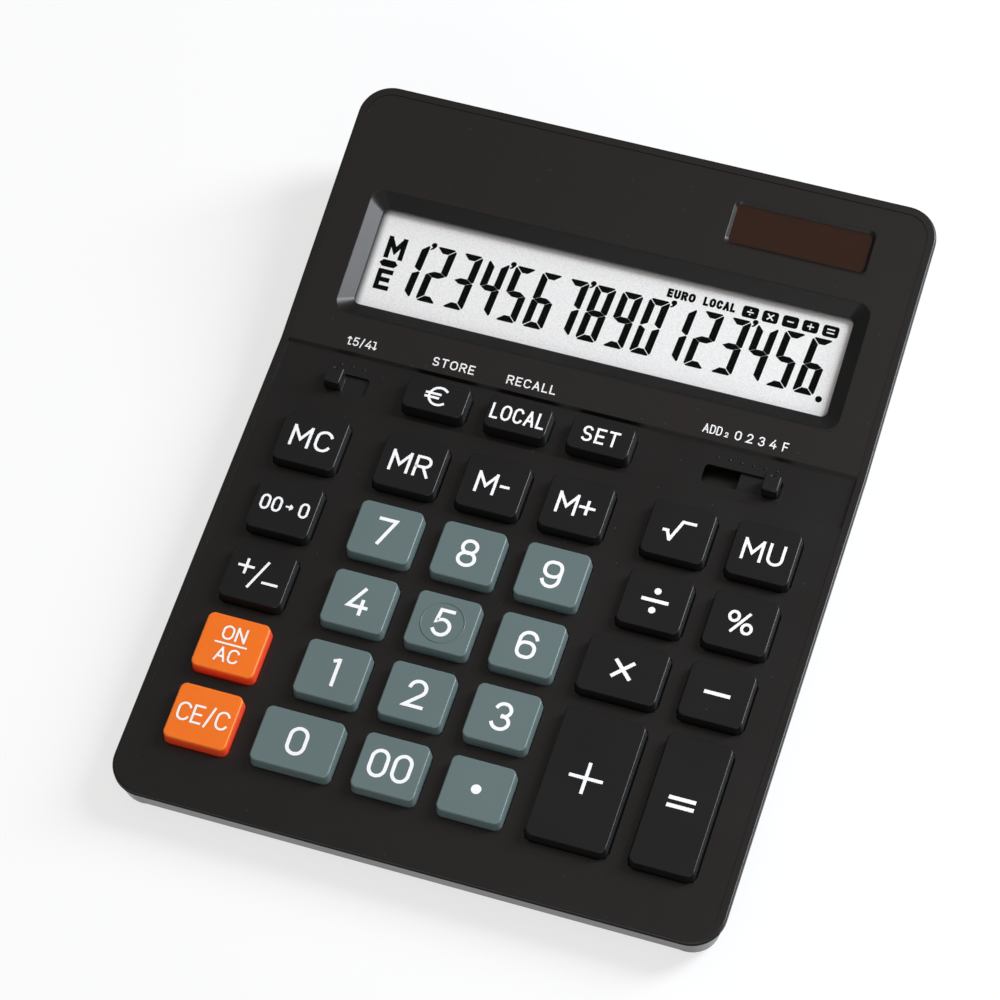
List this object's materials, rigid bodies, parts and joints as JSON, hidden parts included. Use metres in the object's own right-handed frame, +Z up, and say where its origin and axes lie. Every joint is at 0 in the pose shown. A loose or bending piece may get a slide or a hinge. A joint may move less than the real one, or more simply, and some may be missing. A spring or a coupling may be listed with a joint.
{
  "type": "desk calculator",
  "caption": "Wedge-shaped desk calculator: keys that press on a membrane, slide switches in a channel, and a tilted display panel with a framed display and a solar cell.",
  "frame": {"origin": "on the table, under the middle of the bounding box", "axes": "+X to the user's right, +Y away from the user towards the display, +Z up"},
  "size_m": [0.153, 0.2014, 0.0309],
  "materials": {
    "case_top": "satin, finely textured",
    "case_bottom": "satin",
    "key_black": "satin",
    "key_grey": "satin",
    "key_orange": "satin",
    "switch_knob": "satin",
    "membrane": "matt",
    "board": "semi-gloss lacquer",
    "resin": "semi-gloss",
    "window": "clear, polished",
    "lcd_glass": "matt reflector behind polished glass",
    "holder": "satin",
    "ribbon": "semi-gloss",
    "solar_window": "tinted, polished",
    "solar_glass": "polished",
    "cable": "matt",
    "plated_steel": "bright plating",
    "screw_steel": "dark plating",
    "foot_rubber": "matt"
  },
  "bodies": {
    "case": {"upper_case": "case_top", "lower_case": "case_bottom", "key_membrane": "membrane", "main_board": "board", "controller_chip": "resin", "storage_capacitor": "resin", "display_window": "window", "lcd_panel": "lcd_glass", "lcd_holder": "holder", "lcd_ribbon": "ribbon", "solar_window": "solar_window", "solar_cell": "solar_glass", "solar_cable": "cable", "button_cell": "plated_steel", "battery_contact_negative": "plated_steel", "battery_contact_positive": "plated_steel", "battery_cable": "cable", "battery_cover": "case_bottom", "battery_cover_screw": "screw_steel", "case_screws": "screw_steel", "rubber_feet": "foot_rubber"},
    "rounding_switch": {"rounding_switch_slider": "switch_knob", "rounding_switch_wiper": "plated_steel"},
    "decimal_switch": {"decimal_switch_slider": "switch_knob", "decimal_switch_wiper": "plated_steel"},
    "key_memory_clear": {"key_memory_clear": "key_black"},
    "key_memory_recall": {"key_memory_recall": "key_black"},
    "key_memory_minus": {"key_memory_minus": "key_black"},
    "key_memory_plus": {"key_memory_plus": "key_black"},
    "key_square_root": {"key_square_root": "key_black"},
    "key_mark_up": {"key_mark_up": "key_black"},
    "key_backspace": {"key_backspace": "key_black"},
    "key_7": {"key_7": "key_grey"},
    "key_8": {"key_8": "key_grey"},
    "key_9": {"key_9": "key_grey"},
    "key_divide": {"key_divide": "key_black"},
    "key_percent": {"key_percent": "key_black"},
    "key_sign": {"key_sign": "key_black"},
    "key_4": {"key_4": "key_grey"},
    "key_5": {"key_5": "key_grey"},
    "key_6": {"key_6": "key_grey"},
    "key_multiply": {"key_multiply": "key_black"},
    "key_minus": {"key_minus": "key_black"},
    "key_all_clear": {"key_all_clear": "key_orange"},
    "key_1": {"key_1": "key_grey"},
    "key_2": {"key_2": "key_grey"},
    "key_3": {"key_3": "key_grey"},
    "key_plus": {"key_plus": "key_black"},
    "key_equals": {"key_equals": "key_black"},
    "key_clear_entry": {"key_clear_entry": "key_orange"},
    "key_0": {"key_0": "key_grey"},
    "key_double_zero": {"key_double_zero": "key_grey"},
    "key_point": {"key_point": "key_grey"},
    "key_euro": {"key_euro": "key_black"},
    "key_local": {"key_local": "key_black"},
    "key_set": {"key_set": "key_black"}
  },
  "joints": [
    {"name": "rounding_switch_slide", "type": "slide", "parent": "case", "child": "rounding_switch", "axis": [1, 0, 0], "range_m": [0, 0.006]},
    {"name": "decimal_switch_slide", "type": "slide", "parent": "case", "child": "decimal_switch", "axis": [-1, 0, 0], "range_m": [0, 0.015]},
    {"name": "key_memory_clear_press", "type": "slide", "parent": "case", "child": "key_memory_clear", "axis": [0, 0.0436, -0.999], "range_m": [0, 0.0014], "stiffness_N_per_m": 300, "springref_m": -0.0005, "deforming": ["key_membrane"]},
    {"name": "key_memory_recall_press", "type": "slide", "parent": "case", "child": "key_memory_recall", "axis": [0, 0.0436, -0.999], "range_m": [0, 0.0014], "stiffness_N_per_m": 300, "springref_m": -0.0005, "deforming": ["key_membrane"]},
    {"name": "key_memory_minus_press", "type": "slide", "parent": "case", "child": "key_memory_minus", "axis": [0, 0.0436, -0.999], "range_m": [0, 0.0014], "stiffness_N_per_m": 300, "springref_m": -0.0005, "deforming": ["key_membrane"]},
    {"name": "key_memory_plus_press", "type": "slide", "parent": "case", "child": "key_memory_plus", "axis": [0, 0.0436, -0.999], "range_m": [0, 0.0014], "stiffness_N_per_m": 300, "springref_m": -0.0005, "deforming": ["key_membrane"]},
    {"name": "key_square_root_press", "type": "slide", "parent": "case", "child": "key_square_root", "axis": [0, 0.0436, -0.999], "range_m": [0, 0.0014], "stiffness_N_per_m": 300, "springref_m": -0.0005, "deforming": ["key_membrane"]},
    {"name": "key_mark_up_press", "type": "slide", "parent": "case", "child": "key_mark_up", "axis": [0, 0.0436, -0.999], "range_m": [0, 0.0014], "stiffness_N_per_m": 300, "springref_m": -0.0005, "deforming": ["key_membrane"]},
    {"name": "key_backspace_press", "type": "slide", "parent": "case", "child": "key_backspace", "axis": [0, 0.0436, -0.999], "range_m": [0, 0.0014], "stiffness_N_per_m": 300, "springref_m": -0.0005, "deforming": ["key_membrane"]},
    {"name": "key_7_press", "type": "slide", "parent": "case", "child": "key_7", "axis": [0, 0.0436, -0.999], "range_m": [0, 0.0014], "stiffness_N_per_m": 300, "springref_m": -0.0005, "deforming": ["key_membrane"]},
    {"name": "key_8_press", "type": "slide", "parent": "case", "child": "key_8", "axis": [0, 0.0436, -0.999], "range_m": [0, 0.0014], "stiffness_N_per_m": 300, "springref_m": -0.0005, "deforming": ["key_membrane"]},
    {"name": "key_9_press", "type": "slide", "parent": "case", "child": "key_9", "axis": [0, 0.0436, -0.999], "range_m": [0, 0.0014], "stiffness_N_per_m": 300, "springref_m": -0.0005, "deforming": ["key_membrane"]},
    {"name": "key_divide_press", "type": "slide", "parent": "case", "child": "key_divide", "axis": [0, 0.0436, -0.999], "range_m": [0, 0.0014], "stiffness_N_per_m": 300, "springref_m": -0.0005, "deforming": ["key_membrane"]},
    {"name": "key_percent_press", "type": "slide", "parent": "case", "child": "key_percent", "axis": [0, 0.0436, -0.999], "range_m": [0, 0.0014], "stiffness_N_per_m": 300, "springref_m": -0.0005, "deforming": ["key_membrane"]},
    {"name": "key_sign_press", "type": "slide", "parent": "case", "child": "key_sign", "axis": [0, 0.0436, -0.999], "range_m": [0, 0.0014], "stiffness_N_per_m": 300, "springref_m": -0.0005, "deforming": ["key_membrane"]},
    {"name": "key_4_press", "type": "slide", "parent": "case", "child": "key_4", "axis": [0, 0.0436, -0.999], "range_m": [0, 0.0014], "stiffness_N_per_m": 300, "springref_m": -0.0005, "deforming": ["key_membrane"]},
    {"name": "key_5_press", "type": "slide", "parent": "case", "child": "key_5", "axis": [0, 0.0436, -0.999], "range_m": [0, 0.0014], "stiffness_N_per_m": 300, "springref_m": -0.0005, "deforming": ["key_membrane"]},
    {"name": "key_6_press", "type": "slide", "parent": "case", "child": "key_6", "axis": [0, 0.0436, -0.999], "range_m": [0, 0.0014], "stiffness_N_per_m": 300, "springref_m": -0.0005, "deforming": ["key_membrane"]},
    {"name": "key_multiply_press", "type": "slide", "parent": "case", "child": "key_multiply", "axis": [0, 0.0436, -0.999], "range_m": [0, 0.0014], "stiffness_N_per_m": 300, "springref_m": -0.0005, "deforming": ["key_membrane"]},
    {"name": "key_minus_press", "type": "slide", "parent": "case", "child": "key_minus", "axis": [0, 0.0436, -0.999], "range_m": [0, 0.0014], "stiffness_N_per_m": 300, "springref_m": -0.0005, "deforming": ["key_membrane"]},
    {"name": "key_all_clear_press", "type": "slide", "parent": "case", "child": "key_all_clear", "axis": [0, 0.0436, -0.999], "range_m": [0, 0.0014], "stiffness_N_per_m": 300, "springref_m": -0.0005, "deforming": ["key_membrane"]},
    {"name": "key_1_press", "type": "slide", "parent": "case", "child": "key_1", "axis": [0, 0.0436, -0.999], "range_m": [0, 0.0014], "stiffness_N_per_m": 300, "springref_m": -0.0005, "deforming": ["key_membrane"]},
    {"name": "key_2_press", "type": "slide", "parent": "case", "child": "key_2", "axis": [0, 0.0436, -0.999], "range_m": [0, 0.0014], "stiffness_N_per_m": 300, "springref_m": -0.0005, "deforming": ["key_membrane"]},
    {"name": "key_3_press", "type": "slide", "parent": "case", "child": "key_3", "axis": [0, 0.0436, -0.999], "range_m": [0, 0.0014], "stiffness_N_per_m": 300, "springref_m": -0.0005, "deforming": ["key_membrane"]},
    {"name": "key_plus_press", "type": "slide", "parent": "case", "child": "key_plus", "axis": [0, 0.0436, -0.999], "range_m": [0, 0.0014], "stiffness_N_per_m": 300, "springref_m": -0.0005, "deforming": ["key_membrane"]},
    {"name": "key_equals_press", "type": "slide", "parent": "case", "child": "key_equals", "axis": [0, 0.0436, -0.999], "range_m": [0, 0.0014], "stiffness_N_per_m": 300, "springref_m": -0.0005, "deforming": ["key_membrane"]},
    {"name": "key_clear_entry_press", "type": "slide", "parent": "case", "child": "key_clear_entry", "axis": [0, 0.0436, -0.999], "range_m": [0, 0.0014], "stiffness_N_per_m": 300, "springref_m": -0.0005, "deforming": ["key_membrane"]},
    {"name": "key_0_press", "type": "slide", "parent": "case", "child": "key_0", "axis": [0, 0.0436, -0.999], "range_m": [0, 0.0014], "stiffness_N_per_m": 300, "springref_m": -0.0005, "deforming": ["key_membrane"]},
    {"name": "key_double_zero_press", "type": "slide", "parent": "case", "child": "key_double_zero", "axis": [0, 0.0436, -0.999], "range_m": [0, 0.0014], "stiffness_N_per_m": 300, "springref_m": -0.0005, "deforming": ["key_membrane"]},
    {"name": "key_point_press", "type": "slide", "parent": "case", "child": "key_point", "axis": [0, 0.0436, -0.999], "range_m": [0, 0.0014], "stiffness_N_per_m": 300, "springref_m": -0.0005, "deforming": ["key_membrane"]},
    {"name": "key_euro_press", "type": "slide", "parent": "case", "child": "key_euro", "axis": [0, 0.0436, -0.999], "range_m": [0, 0.0014], "stiffness_N_per_m": 300, "springref_m": -0.0005, "deforming": ["key_membrane"]},
    {"name": "key_local_press", "type": "slide", "parent": "case", "child": "key_local", "axis": [0, 0.0436, -0.999], "range_m": [0, 0.0014], "stiffness_N_per_m": 300, "springref_m": -0.0005, "deforming": ["key_membrane"]},
    {"name": "key_set_press", "type": "slide", "parent": "case", "child": "key_set", "axis": [0, 0.0436, -0.999], "range_m": [0, 0.0014], "stiffness_N_per_m": 300, "springref_m": -0.0005, "deforming": ["key_membrane"]}
  ]
}
